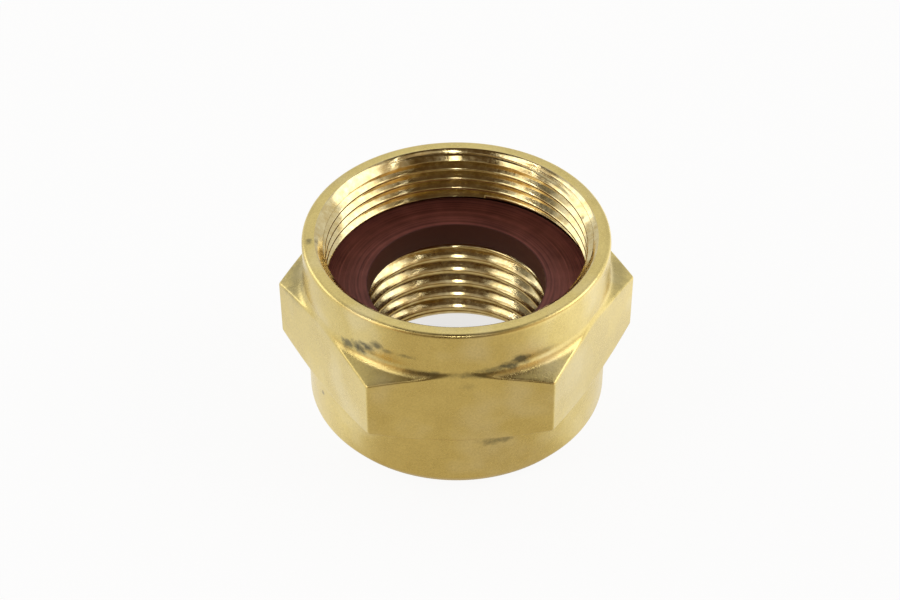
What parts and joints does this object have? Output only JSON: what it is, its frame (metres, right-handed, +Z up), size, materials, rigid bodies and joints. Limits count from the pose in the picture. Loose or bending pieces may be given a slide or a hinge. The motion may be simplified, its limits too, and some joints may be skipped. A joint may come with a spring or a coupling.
{
  "type": "petcock nut",
  "caption": "Hexagon nut with a round collar and skirt, threaded at both ends, with a flat sealing washer held inside.",
  "frame": {"origin": "centre of the nut's axis at the foot face, on which it stands", "axes": "+Z up along the axis, towards the wider thread; a flat of the hexagon faces -Y"},
  "size_m": [0.0288, 0.025, 0.0162],
  "materials": {
    "brass": "tumbled, satin outside and bright in the threads",
    "rubber": "satin, lathe cut"
  },
  "bodies": {
    "root": {"nut_body": "brass", "sealing_washer": "rubber"}
  },
  "joints": []
}
